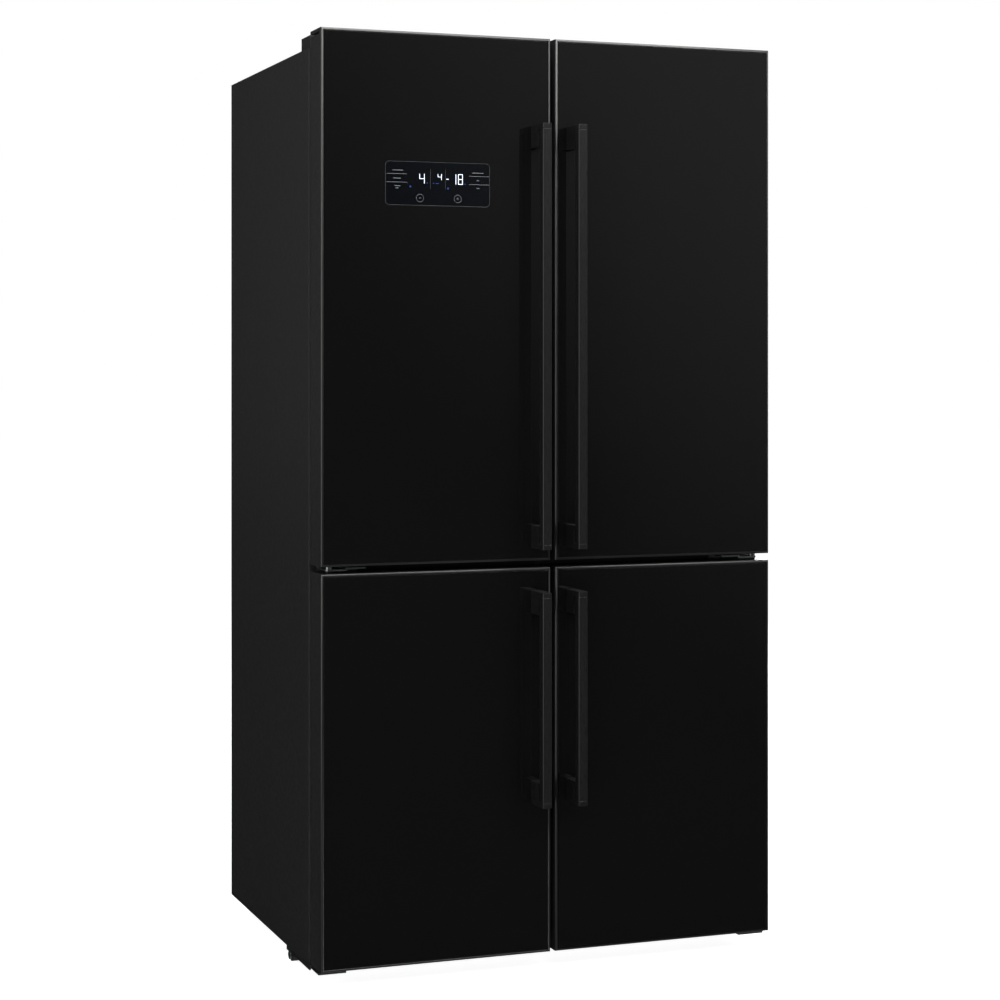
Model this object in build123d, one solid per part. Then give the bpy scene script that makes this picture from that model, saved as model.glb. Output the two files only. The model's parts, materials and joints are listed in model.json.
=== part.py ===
from build123d import *
import math
import os

# ------------------------------------------------------------------ driving sizes, mm
# Doors, seen from the front
width = 912.0  # over the closed doors and over the side panels
upper_door_height = 988.0
lower_door_height = 729.0
row_gap = 13.0  # between the upper and the lower doors
centre_gap = 10.0  # between the left and the right doors
floor_gap = 34.0  # under the lower doors
door_depth = 72.0  # glass face to the back of the steel pan
door_sheet = 1.2  # walls of the hollow steel door pan
door_edge_round = 4.0
trim_width = 4.5  # rim of the pan that frames the glass
glass_thickness = 4.0
glass_edge_gap = 0.2
gasket_gap = 11.0  # back of the door pan to the front frame
gasket_width = 18.0
gasket_set_in = 3.0  # from the door edges that face another door
gasket_seat_gap = 0.3  # closed gasket to the front frame
door_liner_sheet = 1.5
door_liner_set_in = 2.0
ridge_width = 28.0  # raised ring of the door liner
ridge_reach = 28.0  # into the compartment
ridge_gap_hinge = 10.0  # ring to the compartment wall on the hinge side
ridge_gap_free = 16.0  # and on the side that swings in and out
ridge_gap_height = 10.0  # and above and below

# Cabinet
cabinet_depth = 608.0
cabinet_drop = 28.0  # cabinet top below the door tops
skirt_drop = 5.0  # cabinet bottom below the door bottoms
shell_sheet = 1.0
rear_set_in = 3.0  # rear sheets inside the edges of the side and top panels
frame_sheet = 1.0
base_sheet = 1.5
liner_sheet = 1.5
side_wall = 48.0  # outer face to compartment
top_wall = 50.0
floor_wall = 50.0
rear_wall = 55.0
centre_wall = 54.0
middle_wall = 60.0
machine_height = 170.0  # compressor space, at the bottom of the back
machine_depth = 200.0
machine_wall = 40.0

# Handles
bar_width = 18.0
bar_thickness = 18.0
bar_reach = 63.0  # glass face to the front of the bar
bar_set_in = 22.0  # from the door edge at the centre gap
bar_cap = 12.0
bar_edge_round = 0.8
standoff_height = 43.0
upper_bar_length = 797.0
upper_bar_drop = 166.5  # below the upper door top
lower_bar_length = 402.0
lower_bar_drop = 42.5  # below the lower door top

# Control panel, let into the glass of the upper left door
panel_width = 205.0
panel_height = 81.0
panel_drop = 241.0  # below the door top
panel_thickness = 1.5
panel_corner = 7.5
panel_edge_gap = 0.2

# Hinges
pivot_set_in = 23.0  # from the side of the door
pivot_behind_glass = 30.0
pin_radius = 4.5
pin_fit = 0.05  # radial
pin_depth = 14.0  # inside the door
pin_end_gap = 1.0
bush_wall = 5.0
collar_radius = 6.5
collar_gap = 0.3
door_opening_angle = 110.0
hinge_plate = 4.0
top_arm_half_width = 6.5
top_arm_fit = 0.3
top_base_length = 46.0
top_base_width = 76.0
cover_wall = 2.0
cover_drop = 4.0  # cover top below the door top
cover_width = 93.0
cover_depth = 59.0  # behind the front frame
cover_overhang = 1.0  # in front of it
cover_side_gap = 2.0
middle_plate = 3.0
middle_nose_radius = 8.0
middle_arm_end = 56.0  # from the side of the door, where the plate steps up
middle_base_end = 92.0
middle_flange = 3.0
hinge_side_gap = 2.0
bottom_plate_width = 53.0
bottom_flange = 3.0
bottom_flange_height = 6.0
bottom_flange_length = 164.0
bottom_flange_behind_glass = 86.0

# Rollers and levelling feet
roller_radius = 12.0
roller_width = 18.0
roller_side_gap = 1.0
front_roller_lift = 0.5  # off the floor while the feet carry the weight
front_roller_behind_frame = 148.0
rear_roller_before_back = 50.0
rear_roller_set_in = 34.0  # side panel to the outer cheek of its bracket
axle_radius = 4.0
axle_fit = 0.05  # radial
rear_bracket_thickness = 3.0
rear_bracket_length = 40.0
foot_radius = 20.0
foot_height = 9.0
foot_stud_radius = 5.0
foot_stud_fit = 0.05  # radial
foot_boss_wall = 4.0
foot_boss_height = 10.0
foot_set_in = 82.0  # from the side panel
foot_behind_frame = 95.0

# Inside
ledge_width = 8.0
ledge_height = 4.0
shelf_thickness = 4.0
shelf_side_gap = 1.5
shelf_behind_frame = 110.0
shelf_rear_gap = 6.0
shelf_pitch = 228.0
drawer_wall = 2.5
drawer_rim = 3.0
drawer_side_gap = 10.0  # tub to compartment wall
drawer_rim_gap = 3.0  # rim to compartment wall
drawer_run_gap = 0.3  # rim over its ledge
drawer_behind_frame = 118.0
drawer_rear_gap = 6.0
drawer_foot_gap = 6.0
drawer_pull_reach = 10.0
drawer_pull_height = 14.0
crisper_height = 180.0
drawer_height = 190.0
drawer_space = 16.0  # between stacked drawers
bin_height = 85.0
bin_wall = 2.5
bin_reach = 80.0  # behind the front frame
bin_count = 3
bin_first_height = 152.0  # lowest bin above the ring's lower inner face, clear of the crisper
bin_pitch = 262.0
duct_depth = 70.0  # evaporator cover, in front of the rear wall
duct_wall = 2.5
duct_height = 250.0
duct_side_gap = 4.0
vent_width = 60.0
vent_height = 6.0
vent_count = 4
evaporator_depth = 50.0
evaporator_height = 170.0
evaporator_side_gap = 30.0
evaporator_lift = 20.0
evaporator_fins = 16
evaporator_fin = 2.0
evaporator_tube = 10.0
lamp_length = 160.0
lamp_width = 30.0
lamp_height = 8.0
lamp_behind_frame = 130.0

# Compressor space
compressor_radius = 58.0
compressor_height = 118.0
compressor_round = 26.0
compressor_from_side = 150.0  # axis to the compartment's left wall
compressor_plate = 3.0
compressor_plate_size = 140.0
grommet_radius = 11.0
grommet_height = 12.0
grommet_set_in = 16.0
condenser_length = 150.0
condenser_depth = 110.0
condenser_height = 120.0
condenser_from_centre = 40.0
condenser_fins = 14
condenser_fin = 2.0
condenser_tube = 8.0
fan_radius = 52.0
fan_hub_radius = 18.0
fan_hub_length = 20.0
fan_tip_gap = 4.0
fan_plate = 4.0
fan_plate_margin = 8.0
fan_motor_radius = 20.0
fan_motor_length = 28.0
fan_shaft_radius = 3.0
fan_shaft_fit = 0.05  # radial
fan_motor_gap = 1.5
fan_blades = 7
fan_blade_thickness = 2.0
fan_blade_chord = 22.0
fan_blade_pitch = 32.0
fan_strut = 6.0
fan_from_centre = 230.0
grille_slot_height = 5.0
grille_slot_pitch = 14.0
grille_slots = 8
grille_columns = 5
grille_margin = 40.0
cover_gap = 0.5  # machine cover to its neighbours

# ------------------------------------------------------------------ planes worked out from them
half = width / 2
overall_depth = bar_reach + door_depth + gasket_gap + cabinet_depth
glass_y = bar_reach - overall_depth / 2
door_back_y = glass_y + door_depth
frame_y = door_back_y + gasket_gap
inner_frame_y = frame_y + frame_sheet
back_y = frame_y + cabinet_depth
rear_sheet_y = back_y - rear_set_in
foam_back_y = rear_sheet_y - shell_sheet
air_back_y = back_y - rear_wall
machine_front_y = back_y - machine_depth
step_front_y = machine_front_y - machine_wall

lower_bottom_z = floor_gap
lower_top_z = lower_bottom_z + lower_door_height
upper_bottom_z = lower_top_z + row_gap
upper_top_z = upper_bottom_z + upper_door_height
cabinet_top_z = upper_top_z - cabinet_drop
cabinet_bottom_z = floor_gap - skirt_drop
pan_top_z = cabinet_bottom_z + base_sheet
foam_top_z = cabinet_top_z - shell_sheet
middle_z = (lower_top_z + upper_bottom_z) / 2
upper_air = (middle_z + middle_wall / 2, cabinet_top_z - top_wall)
lower_air = (cabinet_bottom_z + floor_wall, middle_z - middle_wall / 2)
machine_top_z = pan_top_z + machine_height
step_top_z = machine_top_z + machine_wall

air_inner_x = centre_wall / 2
air_outer_x = half - side_wall
air_middle_x = (air_outer_x + air_inner_x) / 2

pivot_x = half - pivot_set_in
pivot_y = glass_y + pivot_behind_glass
cover_top_z = upper_top_z - cover_drop
top_arm_z = cover_top_z - cover_wall - top_arm_fit - hinge_plate  # underside of the arm
slot_floor_z = top_arm_z - collar_gap

# The doors by row: (name, bottom, top, compartment heights)
ROWS = {
    "upper": (upper_bottom_z, upper_top_z, upper_air),
    "lower": (lower_bottom_z, lower_top_z, lower_air),
}
SIDES = {"left": -1, "right": 1}


# ------------------------------------------------------------------ helpers
def block(x, y, z):
    """A box between two values on each axis."""
    middle = [(a + b) / 2 for a, b in (x, y, z)]
    size = [abs(b - a) for a, b in (x, y, z)]
    return Pos(*middle) * Box(*size)


def upright(x, y, z, radius):
    """A round bar along Z."""
    return Pos(x, y, (z[0] + z[1]) / 2) * Cylinder(radius, z[1] - z[0])


def crosswise(x, y, z, radius):
    """A round bar along X."""
    return Pos((x[0] + x[1]) / 2, y, z) * Rot(0, 90, 0) * Cylinder(radius, x[1] - x[0])


def from_side(side, near, far):
    """An X range measured inwards from the outer face on that side."""
    return tuple(sorted((side * (half - near), side * (half - far))))


def from_centre(side, near, far):
    """An X range measured outwards from the centre plane."""
    return tuple(sorted((side * near, side * far)))


def facing_front(corners, y):
    """A flat outline of (x, z) corners, made solid between two Y values."""
    plane = Plane(origin=(0, y[1], 0), x_dir=(1, 0, 0), z_dir=(0, -1, 0))
    outline = Polyline(*corners, close=True)
    return extrude(plane * make_face(outline), y[1] - y[0])


def round_front_edges(shape, y, radius):
    """Rounds the straight edges that lie in the plane at y."""
    edges = shape.edges().filter_by(lambda e: abs(e.center().Y - y) < 0.01)
    return fillet(edges.filter_by(lambda e: abs(e.bounding_box().size.Y) < 0.01), radius)


def save(name, *pieces):
    os.makedirs("parts", exist_ok=True)
    shape = pieces[0] if len(pieces) == 1 else Compound(children=list(pieces))
    export_step(shape, f"parts/{name}.step")


# ------------------------------------------------------------------ cabinet shell
def side_panel(side):
    return block(
        from_side(side, 0, shell_sheet), (frame_y, back_y), (cabinet_bottom_z, cabinet_top_z)
    )


def top_panel():
    inner = half - shell_sheet
    return block((-inner, inner), (frame_y, back_y), (foam_top_z, cabinet_top_z))


def rear_panel():
    inner = half - shell_sheet
    return block((-inner, inner), (foam_back_y, rear_sheet_y), (machine_top_z, foam_top_z))


def machine_cover():
    """Slotted sheet that closes the compressor space."""
    inner = half - shell_sheet - cover_gap
    z = (pan_top_z + cover_gap, machine_top_z - cover_gap)
    sheet = block((-inner, inner), (foam_back_y, rear_sheet_y), z)
    reach = air_outer_x - grille_margin
    column = 2 * reach / grille_columns
    middle = (z[0] + z[1]) / 2
    for i in range(grille_columns):
        x = -reach + (i + 0.5) * column
        for j in range(grille_slots):
            slot_z = middle + (j - (grille_slots - 1) / 2) * grille_slot_pitch
            slot_x = (x - 0.35 * column, x + 0.35 * column)
            slot_edges = (slot_z - grille_slot_height / 2, slot_z + grille_slot_height / 2)
            sheet -= block(slot_x, (foam_back_y - 1, back_y + 1), slot_edges)
    return sheet


def front_frame():
    inner = half - shell_sheet
    sheet = block((-inner, inner), (frame_y, inner_frame_y), (cabinet_bottom_z, foam_top_z))
    for side in SIDES.values():
        for _, _, air in ROWS.values():
            opening = from_centre(side, air_inner_x, air_outer_x)
            sheet -= block(opening, (frame_y - 1, inner_frame_y + 1), air)
    return sheet


def base_pan():
    """Bottom sheet with the bosses of the levelling feet and the rear roller brackets."""
    inner = half - shell_sheet
    pan = block((-inner, inner), (inner_frame_y, foam_back_y), (cabinet_bottom_z, pan_top_z))
    boss_radius = foot_stud_radius + foot_stud_fit + foot_boss_wall
    boss_z = (cabinet_bottom_z - foot_boss_height, cabinet_bottom_z)
    for side in SIDES.values():
        foot_x = side * (half - foot_set_in)
        foot_y = frame_y + foot_behind_frame
        pan += upright(foot_x, foot_y, boss_z, boss_radius)
        pan -= upright(
            foot_x, foot_y, (boss_z[0] - 1, boss_z[1]), foot_stud_radius + foot_stud_fit
        )
        y = back_y - rear_roller_before_back
        length = (y - rear_bracket_length / 2, y + rear_bracket_length / 2)
        drop = (roller_radius - axle_radius - axle_fit - rear_bracket_thickness, cabinet_bottom_z)
        for near in bracket_insets(rear_roller_set_in):
            x = from_side(side, near, near + rear_bracket_thickness)
            pan += block(x, length, drop)
            pan -= crosswise((x[0] - 1, x[1] + 1), y, roller_radius, axle_radius + axle_fit)
    return pan


def bracket_insets(outer):
    """How far in from the side the outer and inner cheeks of a roller bracket stand."""
    return outer, outer + bottom_flange + 2 * roller_side_gap + roller_width


def insulation_foam():
    """The foam between the panels and the liners, as flat slabs that meet face to face."""
    front = inner_frame_y
    outer = half - shell_sheet
    wall = air_outer_x + liner_sheet
    core = air_inner_x - liner_sheet
    rear = air_back_y + liner_sheet
    step_front = step_front_y + liner_sheet
    step_top = step_top_z - liner_sheet
    ceiling = upper_air[1] + liner_sheet
    floor = lower_air[0] - liner_sheet
    shelf = (lower_air[1] + liner_sheet, upper_air[0] - liner_sheet)
    slabs = [
        block((-wall, wall), (front, foam_back_y), (ceiling, foam_top_z)),
        block((-wall, wall), (rear, foam_back_y), (step_top, ceiling)),
        block((-wall, wall), (step_front, foam_back_y), (machine_top_z, step_top)),
        block((-wall, wall), (step_front, machine_front_y), (pan_top_z, machine_top_z)),
        block((-wall, wall), (front, step_front), (pan_top_z, floor)),
        block((-core, core), (front, rear), (step_top, ceiling)),
        block((-core, core), (front, step_front), (floor, step_top)),
    ]
    for side in SIDES.values():
        slabs.append(
            block(from_centre(side, wall, outer), (front, foam_back_y), (pan_top_z, foam_top_z))
        )
        slabs.append(block(from_centre(side, core, wall), (front, rear), shelf))
    return slabs


# ------------------------------------------------------------------ compartments
def air_space(side, row, grow, front):
    """The space inside one compartment, grown on every side but the front."""
    air = ROWS[row][2]
    x = from_centre(side, air_inner_x - grow, air_outer_x + grow)
    top = air[1] + grow
    if row == "upper":
        return block(x, (front, air_back_y + grow), (air[0] - grow, top))
    above = block(x, (front, air_back_y + grow), (step_top_z - grow, top))
    before = block(x, (front, step_front_y + grow), (air[0] - grow, top))
    return above + before


def ledge_tops(row):
    """Heights and depths of the ledges on the side walls: (top, back end)."""
    tops = [(z, shelf_back(row)) for z in shelf_heights(row)]
    for bottom, height, back in drawer_places(row):
        tops.append((bottom + height - drawer_rim - drawer_run_gap, back))
    return tops


def shelf_back(row):
    return air_back_y - shelf_rear_gap - (duct_depth if row == "lower" else 0)


def shelf_heights(row):
    """Undersides of the glass shelves, from the lowest."""
    bottom, height, _ = drawer_places(row)[-1]
    first = bottom + height + drawer_space
    if row == "lower":
        return [first]
    room = ROWS[row][2][1] - lamp_height - first
    return [first + i * shelf_pitch for i in range(int(room // shelf_pitch) + 1)]


def drawer_places(row):
    """Bottom, height and back end of each drawer in a compartment, from the lowest."""
    bottom = ROWS[row][2][0] + drawer_foot_gap
    if row == "upper":
        return [(bottom, crisper_height, air_back_y - drawer_rear_gap)]
    second = bottom + drawer_height + drawer_space
    behind_step = air_back_y - duct_depth if second > step_top_z else step_front_y
    return [
        (bottom, drawer_height, step_front_y - drawer_rear_gap),
        (second, drawer_height, behind_step - drawer_rear_gap),
    ]


def compartment_liner(side, row):
    """Thin inner shell, with the ledges that carry its shelves and drawers."""
    liner = air_space(side, row, liner_sheet, inner_frame_y)
    liner -= air_space(side, row, 0, inner_frame_y - 1)
    start = frame_y + shelf_behind_frame
    for top, back in ledge_tops(row):
        for near in (air_inner_x, air_outer_x - ledge_width):
            x = from_centre(side, near, near + ledge_width)
            liner += block(x, (start, back), (top - ledge_height, top))
    return liner


def shelves(side):
    plates = []
    x = from_centre(side, air_inner_x + shelf_side_gap, air_outer_x - shelf_side_gap)
    for row in ROWS:
        for z in shelf_heights(row):
            y = (frame_y + shelf_behind_frame, shelf_back(row))
            plates.append(block(x, y, (z, z + shelf_thickness)))
    return plates


def drawer(side, bottom, height, back):
    """Open tub whose rim runs on the ledges, with a pull along its front."""
    tub_x = from_centre(side, air_inner_x + drawer_side_gap, air_outer_x - drawer_side_gap)
    rim_x = from_centre(side, air_inner_x + drawer_rim_gap, air_outer_x - drawer_rim_gap)
    front = frame_y + drawer_behind_frame
    top = bottom + height
    tub = block(tub_x, (front, back), (bottom, top))
    tub += block(rim_x, (front, back), (top - drawer_rim, top))
    pull = (front - drawer_pull_reach, front)
    tub += block(tub_x, pull, (top - drawer_wall, top))
    tub += block(
        tub_x, (pull[0], pull[0] + drawer_wall), (top - drawer_pull_height, top)
    )
    inner_x = (tub_x[0] + drawer_wall, tub_x[1] - drawer_wall)
    inner_y = (front + drawer_wall, back - drawer_wall)
    return tub - block(inner_x, inner_y, (bottom + drawer_wall, top + 1))


def finned_coil(x, y, z, fins, fin, tube):
    """Upright fins on two rows of tubes that run along X."""
    depth = y[1] - y[0]
    coil = None
    for row in (0.25, 0.75):
        for level in (0.2, 0.5, 0.8):
            tube_y = y[0] + row * depth
            tube_z = z[0] + level * (z[1] - z[0])
            run = crosswise(x, tube_y, tube_z, tube / 2)
            coil = run if coil is None else coil + run
    pitch = (x[1] - x[0] - fin) / (fins - 1)
    for i in range(fins):
        start = x[0] + i * pitch
        coil += block((start, start + fin), y, z)
    return coil


def evaporator(side):
    near = air_inner_x + evaporator_side_gap
    far = air_outer_x - evaporator_side_gap
    bottom = step_top_z + evaporator_lift
    return finned_coil(
        from_centre(side, near, far),
        (air_back_y - evaporator_depth, air_back_y),
        (bottom, bottom + evaporator_height),
        evaporator_fins,
        evaporator_fin,
        evaporator_tube,
    )


def evaporator_cover(side):
    """Air duct in front of the coil, open at the back, with a row of vents high on its face."""
    x = from_centre(side, air_inner_x + duct_side_gap, air_outer_x - duct_side_gap)
    y = (air_back_y - duct_depth, air_back_y)
    z = (step_top_z, step_top_z + duct_height)
    inner_x = (x[0] + duct_wall, x[1] - duct_wall)
    duct = block(x, y, z)
    duct -= block(inner_x, (y[0] + duct_wall, y[1] + 1), (z[0] + duct_wall, z[1] - duct_wall))
    pitch = (x[1] - x[0]) / vent_count
    vent_top = z[1] - 4 * duct_wall
    for i in range(vent_count):
        middle = x[0] + (i + 0.5) * pitch
        vent_x = (middle - vent_width / 2, middle + vent_width / 2)
        duct -= block(vent_x, (y[0] - 1, y[0] + duct_wall + 1), (vent_top - vent_height, vent_top))
    return duct


def lamp(side):
    middle = side * air_middle_x
    x = (middle - lamp_length / 2, middle + lamp_length / 2)
    y = (frame_y + lamp_behind_frame, frame_y + lamp_behind_frame + lamp_width)
    return block(x, y, (upper_air[1] - lamp_height, upper_air[1]))


# ------------------------------------------------------------------ compressor space
def compressor():
    """Sealed compressor on a plate with four rubber grommets."""
    x = -air_outer_x + compressor_from_side
    y = back_y - machine_depth / 2
    plate_z = (pan_top_z + grommet_height, pan_top_z + grommet_height + compressor_plate)
    reach = compressor_plate_size / 2
    unit = block((x - reach, x + reach), (y - reach, y + reach), plate_z)
    shell_z = (plate_z[1], plate_z[1] + compressor_height)
    shell = upright(x, y, shell_z, compressor_radius)
    unit += fillet(shell.edges().filter_by(GeomType.CIRCLE), compressor_round)
    unit += upright(x, y, (plate_z[1], plate_z[1] + compressor_round), compressor_radius / 2)
    spread = reach - grommet_set_in
    for dx in (-spread, spread):
        for dy in (-spread, spread):
            unit += upright(x + dx, y + dy, (pan_top_z, plate_z[1]), grommet_radius)
    return unit


def condenser():
    y = back_y - machine_depth / 2
    return finned_coil(
        (condenser_from_centre, condenser_from_centre + condenser_length),
        (y - condenser_depth / 2, y + condenser_depth / 2),
        (pan_top_z, pan_top_z + condenser_height),
        condenser_fins,
        condenser_fin,
        condenser_tube,
    )


fan_y = back_y - machine_depth / 2
fan_z = pan_top_z + fan_plate_margin + fan_tip_gap + fan_radius
fan_x = fan_from_centre
fan_shaft_end_x = fan_x - fan_hub_length / 2


def fan_bracket():
    """Plate with the fan's opening, and the motor on three struts with its shaft."""
    reach = fan_radius + fan_tip_gap + fan_plate_margin
    plate_x = (fan_x + fan_hub_length / 2, fan_x + fan_hub_length / 2 + fan_plate)
    bracket = block(
        plate_x, (fan_y - reach, fan_y + reach), (pan_top_z, fan_z + reach)
    )
    opening = (plate_x[0] - 1, plate_x[1] + 1)
    bracket -= crosswise(opening, fan_y, fan_z, fan_radius + fan_tip_gap)
    motor_x = (plate_x[0] + fan_motor_gap, plate_x[0] + fan_motor_gap + fan_motor_length)
    strut = block(
        (motor_x[0], plate_x[1]),
        (fan_y - reach + 1, fan_y + reach - 1),
        (fan_z - fan_strut / 2, fan_z + fan_strut / 2),
    )
    bracket += strut
    bracket += block(
        (motor_x[0], plate_x[1]),
        (fan_y - fan_strut / 2, fan_y + fan_strut / 2),
        (fan_z, fan_z + reach - 1),
    )
    bracket += crosswise(motor_x, fan_y, fan_z, fan_motor_radius)
    bracket += crosswise((fan_shaft_end_x, motor_x[0]), fan_y, fan_z, fan_shaft_radius)
    return bracket


def condenser_fan():
    """Hub and pitched blades, turning on the motor's shaft."""
    ends = (fan_x - fan_hub_length / 2, fan_x + fan_hub_length / 2)
    rotor = crosswise(ends, fan_y, fan_z, fan_hub_radius)
    length = fan_radius - fan_hub_radius / 2
    blade = Pos(0, 0, fan_hub_radius / 2 + length / 2) * (
        Rot(0, 0, fan_blade_pitch) * Box(fan_blade_thickness, fan_blade_chord, length)
    )
    for i in range(fan_blades):
        rotor += Pos(fan_x, fan_y, fan_z) * (Rot(i * 360 / fan_blades, 0, 0) * blade)
    through = (ends[0] - 1, ends[1] + 1)
    return rotor - crosswise(through, fan_y, fan_z, fan_shaft_radius + fan_shaft_fit)


# ------------------------------------------------------------------ doors
def door_span(side):
    return from_centre(side, centre_gap / 2, half)


def door_slot(side, grow):
    """Slot near the top of an upper door for the hinge arm, through the whole swing."""
    swing = math.radians(door_opening_angle - 90)
    arm_room = top_arm_half_width + top_arm_fit
    ahead = pivot_set_in * math.tan(swing) + arm_room / math.cos(swing) + 1
    x = from_side(side, -1, pivot_set_in + arm_room + 1 + grow)
    y = (pivot_y - ahead - grow, door_back_y + 1)
    return block(x, y, (slot_floor_z - grow, top_arm_z + hinge_plate + collar_gap + grow))


def door_pan(side, row):
    """Hollow steel door with a rim around the glass and bushes for the hinge pins."""
    bottom, top, _ = ROWS[row]
    x = door_span(side)
    shell = block(x, (glass_y, door_back_y), (bottom, top))
    shell = round_front_edges(shell, glass_y, door_edge_round)
    shell -= block(
        (x[0] + trim_width, x[1] - trim_width),
        (glass_y - 1, glass_y + glass_thickness),
        (bottom + trim_width, top - trim_width),
    )
    hollow = block(
        (x[0] + trim_width, x[1] - door_sheet),
        (glass_y + glass_thickness + door_sheet, door_back_y - door_sheet),
        (bottom + door_sheet, top - door_sheet),
    )
    axis_x = side * pivot_x
    seat = slot_floor_z if row == "upper" else top
    bush = pin_radius + pin_fit + bush_wall
    deep = pin_depth + pin_end_gap
    hollow -= upright(axis_x, pivot_y, (bottom, bottom + deep + bush_wall), bush)
    hollow -= upright(axis_x, pivot_y, (seat - deep - bush_wall, seat), bush)
    if row == "upper":
        hollow -= door_slot(side, door_sheet)
        shell -= door_slot(side, 0)
    shell -= hollow
    shell -= upright(axis_x, pivot_y, (bottom - 1, bottom + deep), pin_radius + pin_fit)
    shell -= upright(axis_x, pivot_y, (seat - deep, seat + 1), pin_radius + pin_fit)
    return shell


def panel_outline(grow):
    """The control panel's rounded rectangle on the glass, between two depths."""
    x = -(half + centre_gap / 2) / 2
    z = upper_top_z - panel_drop - panel_height / 2
    face = RectangleRounded(panel_width + 2 * grow, panel_height + 2 * grow, panel_corner + grow)
    plane = Plane(
        origin=(x, glass_y + panel_thickness, z), x_dir=(1, 0, 0), z_dir=(0, -1, 0)
    )
    return plane, face


def control_panel():
    plane, face = panel_outline(0)
    return extrude(plane * face, panel_thickness)


def door_glass(side, row):
    bottom, top, _ = ROWS[row]
    x = door_span(side)
    inset = trim_width + glass_edge_gap
    pane = block(
        (x[0] + inset, x[1] - inset),
        (glass_y, glass_y + glass_thickness),
        (bottom + inset, top - inset),
    )
    if (side, row) == (SIDES["left"], "upper"):
        plane, face = panel_outline(panel_edge_gap)
        pane -= extrude(plane * face, panel_thickness + 1)
    return pane


def ring_outline(side, row):
    """Outer X and Z ranges of the raised ring on the back of a door."""
    air = ROWS[row][2]
    x = from_centre(side, air_inner_x + ridge_gap_free, air_outer_x - ridge_gap_hinge)
    return x, (air[0] + ridge_gap_height, air[1] - ridge_gap_height)


def inset_range(span, amount):
    return span[0] + amount, span[1] - amount


def door_liner(side, row):
    """Moulded back of the door: a flat sheet with a hollow raised ring."""
    bottom, top, _ = ROWS[row]
    sheet_y = (door_back_y, door_back_y + door_liner_sheet)
    sheet_top = slot_floor_z if row == "upper" else top
    liner = block(
        inset_range(door_span(side), door_liner_set_in),
        sheet_y,
        (bottom + door_liner_set_in, sheet_top - door_liner_set_in),
    )
    x, z = ring_outline(side, row)
    ring_y = (sheet_y[1], frame_y + ridge_reach)
    ring = block(x, ring_y, z)
    ring -= block(inset_range(x, ridge_width), ring_y, inset_range(z, ridge_width))
    wall = door_liner_sheet
    hollow_y = (door_back_y, ring_y[1] - wall)
    hollow = block(inset_range(x, wall), hollow_y, inset_range(z, wall))
    inner = ridge_width - wall
    hollow -= block(inset_range(x, inner), hollow_y, inset_range(z, inner))
    return liner + ring - hollow


def gasket_outline(side, row):
    """Outer X and Z ranges of a door's gasket."""
    bottom, top, _ = ROWS[row]
    wide = from_centre(side, centre_gap / 2 + gasket_set_in, pivot_x - collar_gap)
    if row == "upper":
        return wide, (bottom + gasket_set_in, upper_air[1] + gasket_width + gasket_set_in)
    return wide, (lower_air[0] - gasket_width - gasket_set_in, top - gasket_set_in)


def gasket(side, row):
    """Four strips mitred at the corners."""
    x, z = gasket_outline(side, row)
    inner_x = inset_range(x, gasket_width)
    inner_z = inset_range(z, gasket_width)
    outer = [(x[0], z[0]), (x[1], z[0]), (x[1], z[1]), (x[0], z[1])]
    inner = [
        (inner_x[0], inner_z[0]),
        (inner_x[1], inner_z[0]),
        (inner_x[1], inner_z[1]),
        (inner_x[0], inner_z[1]),
    ]
    y = (door_back_y + door_liner_sheet, frame_y - gasket_seat_gap)
    strips = []
    for i in range(4):
        j = (i + 1) % 4
        strips.append(facing_front([outer[i], outer[j], inner[j], inner[i]], y))
    return strips


def handle(side, row):
    """Square bar with a cap on each end, on two standoffs."""
    top = ROWS[row][1] - (upper_bar_drop if row == "upper" else lower_bar_drop)
    length = upper_bar_length if row == "upper" else lower_bar_length
    bottom = top - length
    near = centre_gap / 2 + bar_set_in
    x = from_centre(side, near, near + bar_width)
    bar_y = (glass_y - bar_reach, glass_y - bar_reach + bar_thickness)
    pieces = []
    for z in (
        (bottom, bottom + bar_cap),
        (bottom + bar_cap, top - bar_cap),
        (top - bar_cap, top),
    ):
        pieces.append(round_front_edges(block(x, bar_y, z), bar_y[0], bar_edge_round))
    for z in ((bottom, bottom + standoff_height), (top - standoff_height, top)):
        pieces.append(block(x, (bar_y[1], glass_y), z))
    return pieces


def door_bins(side):
    """Open bins between the side ridges of an upper door."""
    x, z = ring_outline(side, "upper")
    x = inset_range(x, ridge_width)
    y = (door_back_y + door_liner_sheet, frame_y + bin_reach)
    room = z[1] - z[0] - 2 * ridge_width - bin_first_height - bin_height
    count = min(bin_count, int(room // bin_pitch) + 1)
    bins = []
    for i in range(count):
        bottom = z[0] + ridge_width + bin_first_height + i * bin_pitch
        tub = block(x, y, (bottom, bottom + bin_height))
        tub -= block(
            inset_range(x, bin_wall),
            inset_range(y, bin_wall),
            (bottom + bin_wall, bottom + bin_height + 1),
        )
        bins.append(tub)
    return bins


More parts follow.
